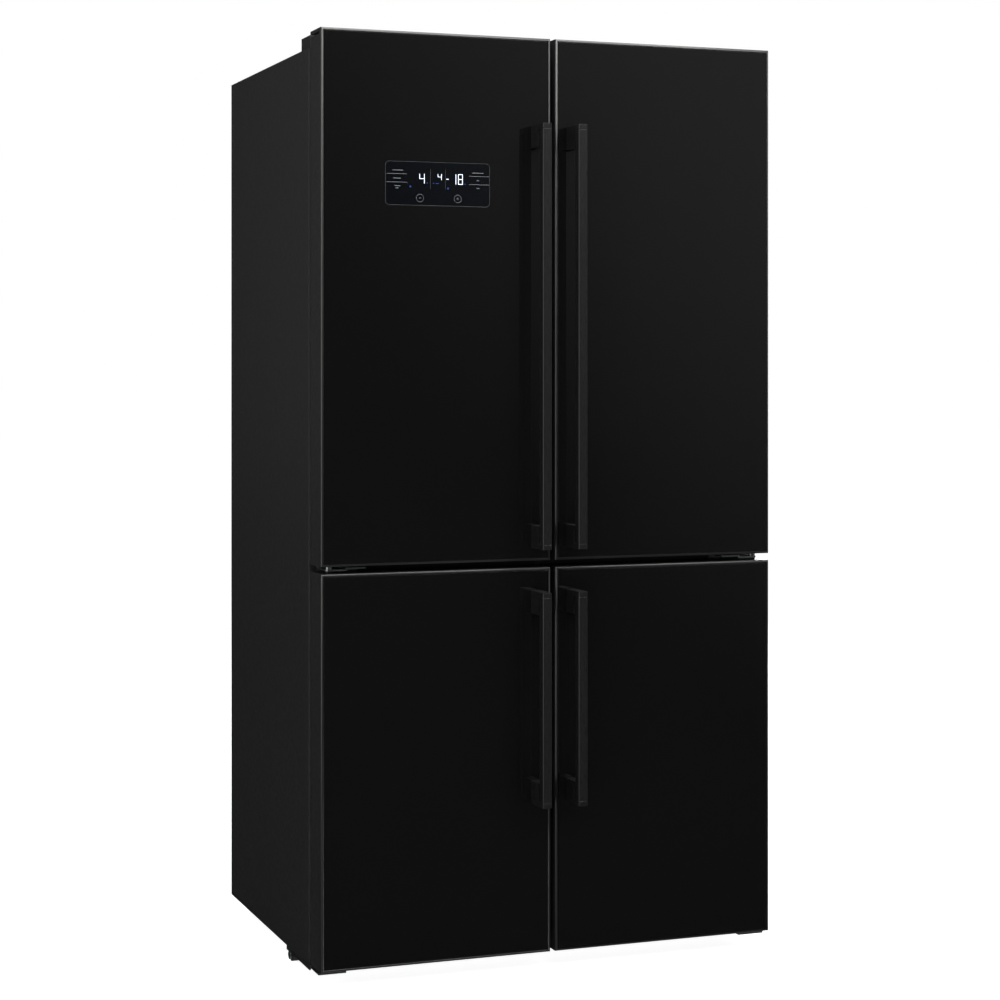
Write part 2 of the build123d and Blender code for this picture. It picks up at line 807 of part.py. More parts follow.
# ------------------------------------------------------------------ hinges
def top_hinge(side):
    """Plate on the cabinet top, an upright, and an arm that holds the pin in the door's slot."""
    base_z = (cabinet_top_z, cabinet_top_z + hinge_plate)
    inner = pivot_set_in + top_arm_half_width
    edge = cover_side_gap + cover_wall + top_arm_fit
    base_x = from_side(side, edge, edge + top_base_width)
    base_front = frame_y - cover_overhang + cover_wall + top_arm_fit
    base_y = (base_front, base_front + top_base_length)
    hinge = block(base_x, base_y, base_z)
    arm_x = from_side(side, pivot_set_in - top_arm_half_width, inner)
    arm_z = (top_arm_z, top_arm_z + hinge_plate)
    upright_y = (base_y[0], base_y[0] + hinge_plate)
    hinge += block(arm_x, upright_y, (base_z[0], arm_z[1]))
    hinge += block(arm_x, (pivot_y, upright_y[1]), arm_z)
    hinge += upright(side * pivot_x, pivot_y, arm_z, top_arm_half_width)
    hinge += upright(
        side * pivot_x, pivot_y, (slot_floor_z - pin_depth, arm_z[0]), pin_radius
    )
    return hinge


def top_hinge_cover(side):
    """Cap over the hinge plate, open below, with an opening in its front for the arm."""
    x = from_side(side, cover_side_gap, cover_side_gap + cover_width)
    y = (frame_y - cover_overhang, frame_y + cover_depth)
    z = (cabinet_top_z, cover_top_z)
    cap = block(x, y, z)
    hollow_z = (z[0] - 1, z[1] - cover_wall)
    cap -= block(inset_range(x, cover_wall), inset_range(y, cover_wall), hollow_z)
    arm_room = top_arm_half_width + top_arm_fit
    room_x = from_side(side, pivot_set_in - arm_room, pivot_set_in + arm_room)
    return cap - block(room_x, (y[0] - 1, y[0] + cover_wall + 1), hollow_z)


def middle_hinge(side):
    """Stepped plate between the doors with a pin up and a pin down, on a flange against the frame."""
    axis_x = side * pivot_x
    outer_end = pivot_set_in - middle_nose_radius
    low = (middle_z - middle_plate, middle_z)
    high = (middle_z, middle_z + middle_plate)
    hinge = upright(axis_x, pivot_y, low, middle_nose_radius)
    hinge += block(from_side(side, outer_end, middle_arm_end), (pivot_y, frame_y), low)
    front = pivot_y - middle_nose_radius
    hinge += block(from_side(side, pivot_set_in, middle_arm_end), (front, frame_y), low)
    step_start = middle_arm_end - middle_plate
    hinge += block(from_side(side, step_start, middle_base_end), (front, frame_y), high)
    flange_half = row_gap / 2 + gasket_set_in - 1
    flange_z = (middle_z - flange_half, middle_z + flange_half)
    flange_x = from_side(side, outer_end, middle_base_end)
    hinge += block(flange_x, (frame_y - middle_flange, frame_y), flange_z)
    collar_z = (lower_top_z + collar_gap, upper_bottom_z - collar_gap)
    hinge += upright(axis_x, pivot_y, collar_z, collar_radius)
    pin_z = (lower_top_z - pin_depth, upper_bottom_z + pin_depth)
    return hinge + upright(axis_x, pivot_y, pin_z, pin_radius)


def bottom_hinge(side):
    """Plate under the cabinet and the door, with the door's pin and the front roller's cheeks."""
    plate_z = (cabinet_bottom_z - hinge_plate, cabinet_bottom_z)
    x = from_side(side, hinge_side_gap, hinge_side_gap + bottom_plate_width)
    flange_y = glass_y + bottom_flange_behind_glass
    y_end = flange_y + bottom_flange_length
    hinge = block(x, (pivot_y - collar_radius, y_end), plate_z)
    roller_y = frame_y + front_roller_behind_frame
    roller_z = roller_radius + front_roller_lift
    drop = (plate_z[0] - bottom_flange_height, plate_z[0])
    for near in bracket_insets(hinge_side_gap):
        cheek_x = from_side(side, near, near + bottom_flange)
        cheek = block(cheek_x, (flange_y, y_end), drop)
        cheek += crosswise(cheek_x, roller_y, roller_z, 2 * axle_radius)
        cheek -= block(cheek_x, (flange_y, y_end), (plate_z[0], plate_z[0] + 2 * axle_radius))
        hinge += cheek
        hinge -= crosswise(
            (cheek_x[0] - 1, cheek_x[1] + 1), roller_y, roller_z, axle_radius + axle_fit
        )
    axis_x = side * pivot_x
    hinge += upright(axis_x, pivot_y, (plate_z[0], lower_bottom_z - collar_gap), collar_radius)
    return hinge + upright(axis_x, pivot_y, (plate_z[0], lower_bottom_z + pin_depth), pin_radius)


# ------------------------------------------------------------------ rollers and feet
def roller(side, set_in, y, z):
    """Wheel on a short axle that turns in both cheeks of its bracket."""
    outer, inner = bracket_insets(set_in)
    wheel_near = outer + bottom_flange + roller_side_gap
    wheel = crosswise(from_side(side, wheel_near, wheel_near + roller_width), y, z, roller_radius)
    return wheel + crosswise(from_side(side, outer, inner + bottom_flange), y, z, axle_radius)


def levelling_foot(side):
    """Disc on a stud that screws into its boss under the cabinet."""
    x = side * (half - foot_set_in)
    y = frame_y + foot_behind_frame
    disc = upright(x, y, (0, foot_height), foot_radius)
    disc = chamfer(disc.edges().filter_by(GeomType.CIRCLE).sort_by(Axis.Z)[-1:], 2)
    stud_top = cabinet_bottom_z - pin_end_gap
    return disc + upright(x, y, (0, stud_top), foot_stud_radius)


# ------------------------------------------------------------------ write every sub-part
save("left_side_panel", side_panel(SIDES["left"]))
save("right_side_panel", side_panel(SIDES["right"]))
save("top_panel", top_panel())
save("rear_panel", rear_panel())
save("machine_cover", machine_cover())
save("front_frame", front_frame())
save("base_pan", base_pan())
save("insulation_foam", *insulation_foam())
save("compressor", compressor())
save("condenser", condenser())
save("fan_bracket", fan_bracket())
save("condenser_fan", condenser_fan())
save("evaporators", *[evaporator(s) for s in SIDES.values()])
save("evaporator_covers", *[evaporator_cover(s) for s in SIDES.values()])
save("lamps", *[lamp(s) for s in SIDES.values()])
save("top_hinges", *[top_hinge(s) for s in SIDES.values()])
save("top_hinge_covers", *[top_hinge_cover(s) for s in SIDES.values()])
save("middle_hinges", *[middle_hinge(s) for s in SIDES.values()])
save("bottom_hinges", *[bottom_hinge(s) for s in SIDES.values()])
save("control_panel", control_panel())

front_roller_place = (
    hinge_side_gap, frame_y + front_roller_behind_frame, roller_radius + front_roller_lift
)
rear_roller_place = (rear_roller_set_in, back_y - rear_roller_before_back, roller_radius)

for hand, side in SIDES.items():
    save(f"shelves_{hand}", *shelves(side))
    save(f"door_bins_{hand}", *door_bins(side))
    save(f"levelling_foot_{hand}", levelling_foot(side))
    save(f"front_roller_{hand}", roller(side, *front_roller_place))
    save(f"rear_roller_{hand}", roller(side, *rear_roller_place))
    save(f"crisper_drawer_{hand}", drawer(side, *drawer_places("upper")[0]))
    for level, place in zip(("bottom", "top"), drawer_places("lower")):
        save(f"{level}_drawer_{hand}", drawer(side, *place))
    for row in ROWS:
        save(f"liner_{row}_{hand}", compartment_liner(side, row))
        save(f"door_{row}_{hand}", door_pan(side, row))
        save(f"door_glass_{row}_{hand}", door_glass(side, row))
        save(f"door_liner_{row}_{hand}", door_liner(side, row))
        save(f"door_gasket_{row}_{hand}", *gasket(side, row))
        save(f"door_handle_{row}_{hand}", *handle(side, row))
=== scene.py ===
"""A four-door refrigerator with black glass doors, dressed for rendering."""

import json
import math

import bpy
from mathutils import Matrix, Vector

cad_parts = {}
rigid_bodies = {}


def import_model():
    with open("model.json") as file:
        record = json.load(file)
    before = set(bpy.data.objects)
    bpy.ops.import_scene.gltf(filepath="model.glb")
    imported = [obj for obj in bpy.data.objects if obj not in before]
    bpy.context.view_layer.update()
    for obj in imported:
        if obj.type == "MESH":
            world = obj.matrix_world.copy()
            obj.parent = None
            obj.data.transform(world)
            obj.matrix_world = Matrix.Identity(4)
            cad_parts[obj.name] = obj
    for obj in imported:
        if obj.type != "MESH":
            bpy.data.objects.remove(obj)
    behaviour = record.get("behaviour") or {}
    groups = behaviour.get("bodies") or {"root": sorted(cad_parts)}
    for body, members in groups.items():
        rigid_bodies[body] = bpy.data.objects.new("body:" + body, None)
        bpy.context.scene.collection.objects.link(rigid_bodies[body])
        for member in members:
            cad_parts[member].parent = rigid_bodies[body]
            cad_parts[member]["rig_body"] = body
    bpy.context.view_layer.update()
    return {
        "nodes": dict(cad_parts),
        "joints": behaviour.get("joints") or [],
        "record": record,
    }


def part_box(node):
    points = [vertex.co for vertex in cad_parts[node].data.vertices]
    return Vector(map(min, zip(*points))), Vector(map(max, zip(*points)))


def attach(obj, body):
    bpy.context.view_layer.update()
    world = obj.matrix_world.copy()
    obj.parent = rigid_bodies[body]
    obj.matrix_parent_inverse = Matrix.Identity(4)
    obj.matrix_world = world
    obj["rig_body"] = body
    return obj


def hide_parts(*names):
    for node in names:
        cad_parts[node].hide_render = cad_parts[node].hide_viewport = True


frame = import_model()

MM = 0.001
TOUCH = 0.01 * MM  # coordinates closer than this count as the same
ROWS = ("upper", "lower")
HANDS = {"left": -1, "right": 1}


# ------------------------------------------------------------------ modelling helpers
def alone(piece):
    """Leaves only this piece selected and active."""
    bpy.ops.object.select_all(action="DESELECT")
    piece.select_set(True)
    bpy.context.view_layer.objects.active = piece


def block(name, x, y, z):
    """A box between two values on each axis, with its place in its mesh."""
    centre = [(a + b) / 2 for a, b in (x, y, z)]
    size = [abs(b - a) for a, b in (x, y, z)]
    bpy.ops.mesh.primitive_cube_add(size=1, location=centre, scale=size)
    return settled(name)


def rod(name, ends, radius, sides=32):
    """A round bar between two points, with its place in its mesh."""
    start, end = Vector(ends[0]), Vector(ends[1])
    turn = (end - start).to_track_quat("Z", "Y").to_euler()
    bpy.ops.mesh.primitive_cylinder_add(
        vertices=sides, radius=radius, depth=(end - start).length,
        location=(start + end) / 2, rotation=turn,
    )
    return settled(name)


def settled(name):
    """Names the new piece and puts its place and size into its mesh."""
    piece = bpy.context.object
    piece.name = name
    bpy.ops.object.transform_apply(location=True, rotation=True, scale=True)
    return piece


def pick(piece, kind, test):
    """Opens a piece for editing with the faces or edges that pass the test selected."""
    alone(piece)
    bpy.ops.object.mode_set(mode="EDIT")
    bpy.ops.mesh.select_mode(type=kind)
    bpy.ops.mesh.select_all(action="DESELECT")
    bpy.ops.object.mode_set(mode="OBJECT")
    mesh = piece.data
    if kind == "FACE":
        for face in mesh.polygons:
            face.select = test(face.center, face.normal)
    else:
        for edge in mesh.edges:
            edge.select = test(*(mesh.vertices[i].co for i in edge.vertices))
    bpy.ops.object.mode_set(mode="EDIT")


def close_edit():
    """Ends an edit that pick opened."""
    bpy.ops.object.mode_set(mode="OBJECT")


def cut(piece, *planes):
    """Adds edge loops where planes, given as (axis, value), cross the piece."""
    alone(piece)
    bpy.ops.object.mode_set(mode="EDIT")
    for axis, value in planes:
        point, normal = Vector((0, 0, 0)), Vector((0, 0, 0))
        point[axis] = value
        normal[axis] = 1
        bpy.ops.mesh.select_all(action="SELECT")
        bpy.ops.mesh.bisect(plane_co=point, plane_no=normal)
    close_edit()


def push_in(depth):
    """Pushes the selected faces in along their normals; a negative depth raises them."""
    bpy.ops.mesh.extrude_region_shrink_fatten(TRANSFORM_OT_shrink_fatten={"value": -depth})


def extrude(piece, test, move):
    """Pulls the faces that pass the test out by a vector."""
    pick(piece, "FACE", test)
    bpy.ops.mesh.extrude_region_move(TRANSFORM_OT_translate={"value": move})
    close_edit()


def sink(piece, test, rim, depth):
    """Insets faces by a rim and pushes them in; a negative depth raises them."""
    pick(piece, "FACE", test)
    bpy.ops.mesh.inset(thickness=rim, use_even_offset=True)
    push_in(depth)
    close_edit()


def groove(piece, test, depth):
    """Pushes a band of faces straight in."""
    pick(piece, "FACE", test)
    push_in(depth)
    close_edit()


def round_edges(piece, test, radius, steps=4):
    """Rounds the edges that pass the test."""
    pick(piece, "EDGE", test)
    bpy.ops.mesh.bevel(offset=radius, segments=steps, affect="EDGES", clamp_overlap=True)
    close_edit()


def apply_modifier(piece, kind, **settings):
    """Adds one modifier with these settings and applies it at once."""
    alone(piece)
    modifier = piece.modifiers.new(kind.title(), kind)
    for name, value in settings.items():
        setattr(modifier, name, value)
    bpy.ops.object.modifier_apply(modifier=modifier.name)


def weigh_normals(piece):
    """Keeps flat faces looking flat beside their rounded edges."""
    apply_modifier(piece, "WEIGHTED_NORMAL", weight=100, keep_sharp=True)


def shade(piece, angle):
    """Shades a piece smooth across every edge that turns by less than this many degrees."""
    alone(piece)
    bpy.ops.object.shade_smooth_by_angle(angle=math.radians(angle))


def ease(piece, radius, steps=2, angle=35):
    """Breaks every sharp edge by a small radius and shades the piece smooth."""
    apply_modifier(
        piece, "BEVEL", width=radius, segments=steps, limit_method="ANGLE",
        angle_limit=math.radians(angle),
    )
    alone(piece)
    bpy.ops.object.shade_smooth()
    weigh_normals(piece)


def merged(name, pieces):
    """Joins several pieces into one."""
    bpy.ops.object.select_all(action="DESELECT")
    for piece in pieces:
        piece.select_set(True)
    bpy.context.view_layer.objects.active = pieces[0]
    bpy.ops.object.join()
    pieces[0].name = name
    return pieces[0]


def copied_solid(name, *nodes):
    """A copy of CAD solids with their triangles merged back into plain faces."""
    copies = []
    for node in nodes:
        copy = bpy.data.objects.new(name, frame["nodes"][node].data.copy())
        bpy.context.scene.collection.objects.link(copy)
        copies.append(copy)
    piece = merged(name, copies)
    alone(piece)
    bpy.ops.object.mode_set(mode="EDIT")
    bpy.ops.mesh.select_all(action="SELECT")
    bpy.ops.mesh.remove_doubles(threshold=0.001 * MM)
    bpy.ops.mesh.dissolve_limited(angle_limit=math.radians(0.5))
    close_edit()
    return piece


def finished(piece, materials, body, replaced=()):
    """Gives a piece its materials and body, and hides the CAD nodes that it stands for."""
    materials = materials if isinstance(materials, (list, tuple)) else [materials]
    piece.data.materials.clear()
    for material in materials:
        piece.data.materials.append(material)
    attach(piece, body)
    if replaced:
        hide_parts(*replaced)
    return piece


# ------------------------------------------------------------------ material helpers
def colour(code):
    """A linear colour from an sRGB hex code."""
    parts = [int(code[i:i + 2], 16) / 255 for i in (1, 3, 5)]
    linear = [c / 12.92 if c <= 0.04045 else ((c + 0.055) / 1.055) ** 2.4 for c in parts]
    return (*linear, 1.0)


def add_node(tree, kind, settings, sockets):
    """Adds a shader node, sets its options and its sockets, and links what feeds them."""
    node = tree.nodes.new("ShaderNode" + kind)
    for name, value in settings.items():
        setattr(node, name, value)
    for name, value in sockets.items():
        if isinstance(value, bpy.types.NodeSocket):
            tree.links.new(value, node.inputs[name])
        else:
            node.inputs[name].default_value = value
    return node


def new_material(name, **sockets):
    """A material with its shader; the keywords are the shader's constant sockets."""
    material = bpy.data.materials.new(name)
    material.use_nodes = True
    shader = material.node_tree.nodes["Principled BSDF"]
    for key, value in sockets.items():
        shader.inputs[key.replace("_", " ")].default_value = value
    return material, material.node_tree, shader


def grain(tree, size, stretch=(1, 1, 1), detail=3.0, seed=0.0):
    """Noise whose features are about this size in metres, drawn out along an axis by stretch."""
    place = add_node(tree, "TexCoord", {}, {})
    scale = [1 / (size * s) for s in stretch]
    spread = add_node(
        tree, "Mapping", {},
        {"Vector": place.outputs["Object"], "Scale": scale, "Location": (seed, seed, seed)},
    )
    return add_node(
        tree, "TexNoise", {}, {"Vector": spread.outputs[0], "Scale": 1.0, "Detail": detail}
    ).outputs["Fac"]


def vary(tree, shader, pattern, socket, low, high, ends=(0.3, 0.7)):
    """Drives a colour or a number on the shader between two values by a pattern."""
    if isinstance(low, str):
        mix = add_node(
            tree, "Mix", {"data_type": "RGBA"}, {0: pattern, 6: colour(low), 7: colour(high)}
        )
        tree.links.new(mix.outputs[2], shader.inputs[socket])
    else:
        spread = add_node(
            tree, "MapRange", {},
            {"Value": pattern, "From Min": ends[0], "From Max": ends[1],
             "To Min": low, "To Max": high},
        )
        tree.links.new(spread.outputs[0], shader.inputs[socket])


def relief(tree, shader, pattern, depth, socket="Normal"):
    """Gives the surface a relief of this depth in metres."""
    bump = add_node(tree, "Bump", {}, {"Height": pattern, "Distance": depth, "Strength": 1.0})
    tree.links.new(bump.outputs[0], shader.inputs[socket])


# ------------------------------------------------------------------ materials
def painted_steel(name, dark, light, roughness):
    """Coil-coated steel sheet: rolled flat and stoved, with a fine even orange peel."""
    material, tree, shader = new_material(name, IOR=1.5)
    vary(tree, shader, grain(tree, 60 * MM), "Base Color", dark, light)
    vary(tree, shader, grain(tree, 9 * MM), "Roughness", roughness - 0.04, roughness + 0.04)
    relief(tree, shader, grain(tree, 1.2 * MM), 0.004 * MM)
    return material


def toughened_glass(name, dark, light):
    """Float glass enamelled on its back: a mirror-smooth face, slightly wavy from toughening."""
    material, tree, shader = new_material(name, IOR=1.52)
    vary(tree, shader, grain(tree, 120 * MM), "Base Color", dark, light)
    vary(tree, shader, grain(tree, 40 * MM), "Roughness", 0.02, 0.05)
    relief(tree, shader, grain(tree, 160 * MM, detail=1.0), 0.02 * MM)
    return material


def anodised_aluminium(name, dark, light, roughness, along, bare):
    """Extruded aluminium, brushed lengthwise and anodised; a dyed oxide layer leaves less bare."""
    material, tree, shader = new_material(name, Metallic=bare, Anisotropic=0.4)
    stretch = [1, 1, 1]
    stretch[along] = 60
    # The brush lines are about 0.15 mm apart, drawn twice as coarse so that they show.
    lines = grain(tree, 0.3 * MM, stretch, detail=2.0)
    vary(tree, shader, lines, "Base Color", dark, light)
    vary(tree, shader, lines, "Roughness", roughness - 0.06, roughness + 0.08)
    relief(tree, shader, lines, 0.006 * MM)
    return material


def zinc_steel():
    """Hot-dip galvanised sheet: pressed, with the crystal spangle of the zinc."""
    material, tree, shader = new_material("galvanised_steel", Metallic=1.0)
    place = add_node(tree, "TexCoord", {}, {})
    cells = add_node(
        tree, "TexVoronoi", {}, {"Vector": place.outputs["Object"], "Scale": 1 / (7 * MM)}
    )
    split = add_node(tree, "SeparateColor", {}, {"Color": cells.outputs["Color"]})
    vary(tree, shader, split.outputs[0], "Base Color", "#a0a4a6", "#b9bcbe")
    vary(tree, shader, split.outputs[1], "Roughness", 0.34, 0.44, (0, 1))
    relief(tree, shader, grain(tree, 0.8 * MM), 0.004 * MM)
    return material


def moulded_plastic(name, dark, light, roughness, relief_size, relief_depth, **sockets):
    """Plastic with the fine texture of its mould."""
    material, tree, shader = new_material(name, IOR=1.49, **sockets)
    vary(tree, shader, grain(tree, 35 * MM), "Base Color", dark, light)
    vary(tree, shader, grain(tree, 6 * MM), "Roughness", roughness - 0.05, roughness + 0.05)
    relief(tree, shader, grain(tree, relief_size), relief_depth)
    return material


MATERIALS = {
    "cabinet_paint": painted_steel("cabinet_paint", "#1c1c1c", "#1f1f1f", 0.36),
    "black_glass": toughened_glass("black_glass", "#0a0a0a", "#0b0b0b"),
    "display_glass": toughened_glass("display_glass", "#050608", "#07080b"),
    "door_trim": anodised_aluminium("door_trim", "#636363", "#6e6e6d", 0.4, 2, 1.0),
    "handle_bar": anodised_aluminium("handle_bar", "#343434", "#3c3c3c", 0.3, 2, 0.85),
    "zinc": zinc_steel(),
    "satin_chrome": anodised_aluminium("satin_chrome", "#b4b6b8", "#c6c8ca", 0.22, 0, 1.0),
    "white_liner": moulded_plastic("white_liner", "#d6d8d8", "#dee0e0", 0.32, 3 * MM, 0.01 * MM),
    "clear_bin": moulded_plastic(
        "clear_bin", "#dfe6ea", "#e9eef0", 0.12, 20 * MM, 0.01 * MM, Alpha=0.36
    ),
    "black_plastic": moulded_plastic(
        "black_plastic", "#151515", "#1a1a1a", 0.5, 0.6 * MM, 0.02 * MM
    ),
    "seal_rubber": moulded_plastic("seal_rubber", "#1d1d1e", "#242425", 0.62, 1 * MM, 0.01 * MM),
    "foam": moulded_plastic("foam", "#cdbb85", "#dccb98", 0.9, 2 * MM, 0.3 * MM),
    "shelf_glass": moulded_plastic(
        "shelf_glass", "#cfe6de", "#d8ece5", 0.06, 80 * MM, 0.01 * MM, Alpha=0.3
    ),
    "compressor_enamel": painted_steel("compressor_enamel", "#101010", "#171717", 0.3),
    "fin_aluminium": anodised_aluminium("fin_aluminium", "#a9abac", "#b9bbbc", 0.35, 0, 1.0),
    "white_ink": moulded_plastic("white_ink", "#7b7f84", "#868b90", 0.5, 1 * MM, 0.005 * MM),
    "grey_ink": moulded_plastic("grey_ink", "#34373b", "#3b3f44", 0.5, 1 * MM, 0.005 * MM),
    "cool_led": moulded_plastic(
        "cool_led", "#dfe9ff", "#eaf1ff", 0.3, 1 * MM, 0.005 * MM,
        Emission_Color=colour("#d5e4ff"), Emission_Strength=0.8,
    ),
    "blue_led": moulded_plastic(
        "blue_led", "#1c2f66", "#22386f", 0.3, 1 * MM, 0.005 * MM,
        Emission_Color=colour("#2b55c8"), Emission_Strength=0.12,
    ),
    "lamp_lens": moulded_plastic(
        "lamp_lens", "#f2f2ee", "#f7f7f3", 0.3, 1 * MM, 0.02 * MM,
        Emission_Color=(1, 1, 0.96, 1), Emission_Strength=1.0,
    ),
}

SLOT_MATERIALS = {
    "black_paint": "cabinet_paint",
    "black_glass": "black_glass",
    "display_glass": "display_glass",
    "black_aluminium": "handle_bar",
    "galvanised_steel": "zinc",
    "white_plastic": "white_liner",
    "clear_plastic": "clear_bin",
    "black_plastic": "black_plastic",
    "gasket_rubber": "seal_rubber",
    "polyurethane_foam": "foam",
    "shelf_glass": "shelf_glass",
    "compressor_paint": "compressor_enamel",
    "fin_aluminium": "fin_aluminium",
    "lamp_diffuser": "lamp_lens",
}

for subpart in frame["record"]["subparts"]:
    solid = frame["nodes"][subpart["node"]]
    solid.data.materials.clear()
    solid.data.materials.append(MATERIALS[SLOT_MATERIALS[subpart["material_slot"]]])


# ------------------------------------------------------------------ doors
TRIM_DEPTH = 5 * MM
TRIM_SEAM = 0.3 * MM
TRIM_SEAM_DEPTH = 0.4 * MM
GLASS_SEAM = 1.2 * MM
BAR_THICKNESS = 18 * MM
BAR_CAP = 9.5 * MM
BAR_SEAM = 0.6 * MM  # to each side of its middle
BAR_SEAM_DEPTH = 0.9 * MM
STANDOFF_HEIGHT = 43 * MM
NECK = 8 * MM
NECK_DEPTH = 5 * MM
WASHER_RADIUS = 7 * MM
PLATE_HALF_HEIGHT = 3.2 * MM


def outward(place, normal, middle):
    """Positive where a face of a door looks away from the middle of the door."""
    return normal.x * (place.x - middle.x) + normal.z * (place.z - middle.z)


def door_case(row, hand):
    """The steel pan with the aluminium rim that frames the glass."""
    node = f"door_{row}_{hand}"
    low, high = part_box(node)
    case = copied_solid(f"door_case_{row}_{hand}", node)
    middle = (low + high) / 2
    trim_back = low.y + TRIM_DEPTH
    cut(case, (1, trim_back), (1, trim_back + TRIM_SEAM))
    groove(
        case, lambda c, n: trim_back < c.y < trim_back + TRIM_SEAM and abs(n.y) < 0.1
        and outward(c, n, middle) > 0, TRIM_SEAM_DEPTH,
    )
    finished(
        case, [MATERIALS["cabinet_paint"], MATERIALS["door_trim"]],
        f"{row}_{hand}_door", [node],
    )
    for face in case.data.polygons:
        place, normal = face.center, face.normal
        inside = outward(place, normal, middle) < -10 * MM
        rebate = inside or (normal.y < -0.9 and place.y > low.y + 1 * MM)
        face.material_index = int(place.y < trim_back and not rebate)
    shade(case, 30)
    weigh_normals(case)


def glass_front(row, hand):
    """The glass pane, with polished edges and a narrow seam left round it."""
    node = f"door_glass_{row}_{hand}"
    low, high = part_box(node)
    size = high - low
    pane = copied_solid(f"glass_front_{row}_{hand}", node)
    pick(pane, "FACE", lambda c, n: True)
    bpy.ops.transform.resize(
        value=(1 - 2 * GLASS_SEAM / size.x, 1, 1 - 2 * GLASS_SEAM / size.z),
        center_override=(low + high) / 2,
    )
    close_edit()
    ease(pane, 0.2 * MM)
    finished(pane, MATERIALS["black_glass"], f"{row}_{hand}_door", [node])


def handle(row, hand):
    """Square bar with capped ends, and at each end a foot that a recessed neck joins to it; the
    neck's recessed faces are made darker, as painted shade.
    """
    node = f"door_handle_{row}_{hand}"
    low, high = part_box(node)
    bar_back = low.y + BAR_THICKNESS
    bar = block(f"handle_{row}_{hand}", (low.x, high.x), (low.y, bar_back), (low.z, high.z))
    joints = (low.z + BAR_CAP, high.z - BAR_CAP)
    feet = (low.z + STANDOFF_HEIGHT, high.z - STANDOFF_HEIGHT)
    for z in joints:
        cut(bar, (2, z - BAR_SEAM), (2, z + BAR_SEAM))
    cut(bar, *[(2, z) for z in feet])
    extrude(
        bar,
        lambda c, n: n.y > 0.9 and (c.z < feet[0] or c.z > feet[1]),
        (0, high.y - bar_back, 0),
    )
    cut(bar, (1, bar_back + NECK))
    round_edges(
        bar, lambda a, b: abs(a.y - low.y) < TOUCH and abs(b.y - low.y) < TOUCH
        and abs(a.x - b.x) < TOUCH, 1 * MM, 1,
    )
    groove(
        bar,
        lambda c, n: abs(n.z) < 0.1 and min(abs(c.z - z) for z in joints) < 0.9 * BAR_SEAM
        and c.y < bar_back + 0.1 * MM, BAR_SEAM_DEPTH,
    )
    groove(
        bar,
        lambda c, n: abs(n.x) > 0.9 and bar_back < c.y < bar_back + NECK
        and joints[0] < c.z < joints[1], NECK_DEPTH,
    )
    ease(bar, 0.35 * MM, 2, 50)
    shade(bar, 35)
    weigh_normals(bar)
    finished(
        bar, [MATERIALS["handle_bar"], MATERIALS["black_plastic"]],
        f"{row}_{hand}_door", [node],
    )
    # The neck's recessed side faces take the black plastic, darker than the bar: painted shade in
    # the gap between each foot and the bar, over the real shade of its groove.
    reach = (high.x - low.x) / 2 - 0.8 * NECK_DEPTH
    for face in bar.data.polygons:
        place = face.center
        beside = abs(place.x - (low.x + high.x) / 2) < reach and bar_back < place.y
        face.material_index = int(beside and place.y < bar_back + NECK)


def eased_copy(name, node, radius, material, steps=2):
    """A copy of a CAD solid with its edges broken, standing in its place."""
    piece = copied_solid(name, node)
    ease(piece, radius, steps)
    body = frame["nodes"][node]["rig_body"]
    return finished(piece, MATERIALS[material], body, [node])


def middle_hinges():
    """Stepped plates between the doors, with black plastic washers round their pins."""
    plates = eased_copy(
        "middle_hinge_plates", "middle_hinges", 0.4 * MM, "zinc"
    )
    plates.data.materials.append(MATERIALS["black_plastic"])
    pivots = [
        joint["pos_m"] for joint in frame["joints"]
        if joint["name"].startswith("upper") and joint["name"].endswith("hinge")
    ]
    low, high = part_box("middle_hinges")
    middle_z = (low.z + high.z) / 2
    for face in plates.data.polygons:
        place = face.center
        away = min(math.hypot(place.x - x, place.y - y) for x, y, _ in pivots)
        beyond_plate = abs(place.z - middle_z) > PLATE_HALF_HEIGHT
        face.material_index = int(away < WASHER_RADIUS and beyond_plate)


def runs_in_depth(a, b):
    """Tells whether an edge runs from front to back."""
    return abs(a.y - b.y) > TOUCH


def ring_block(name, x, y, z, corner, band):
    """A flat rounded frame: a block with its corners rounded and its middle taken out."""
    ring = block(name, x, y, z)
    round_edges(ring, runs_in_depth, corner, 8)
    pick(ring, "FACE", lambda c, n: abs(n.y) > 0.9)
    bpy.ops.mesh.inset(thickness=band)
    bpy.ops.mesh.bridge_edge_loops()
    close_edit()
    return ring


# ------------------------------------------------------------------ control panel
PANEL_LOW, PANEL_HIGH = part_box("control_panel")
INK = 0.12 * MM
SEGMENTS = {"1": "bc", "4": "fgbc", "8": "abcdefg", "-": "g"}


def on_panel(name, across, down):
    """A raised mark on the panel, between two distances in mm from its left and top edges."""
    x = [PANEL_LOW.x + v * MM for v in across]
    z = [PANEL_HIGH.z - v * MM for v in down]
    return block(name, x, (PANEL_LOW.y - INK, PANEL_LOW.y + INK), z)


def digit(figure, left, top, width, height, stroke):
    """A seven-segment figure made of bars with rounded corners."""
    half = height / 2
    places = {
        "a": (left, left + width, top, top + stroke),
        "g": (left, left + width, top + half - stroke / 2, top + half + stroke / 2),
        "d": (left, left + width, top + height - stroke, top + height),
        "f": (left, left + stroke, top, top + half),
        "b": (left + width - stroke, left + width, top, top + half),
        "e": (left, left + stroke, top + half, top + height),
        "c": (left + width - stroke, left + width, top + half, top + height),
    }
    bars = []
    for key in SEGMENTS[figure]:
        x0, x1, y0, y1 = places[key]
        gap = stroke * 0.12
        bar = on_panel("bar", (x0 + gap, x1 - gap), (y0 + gap, y1 - gap))
        round_edges(bar, runs_in_depth, stroke * 0.3 * MM, 2)
        bars.append(bar)
    return bars


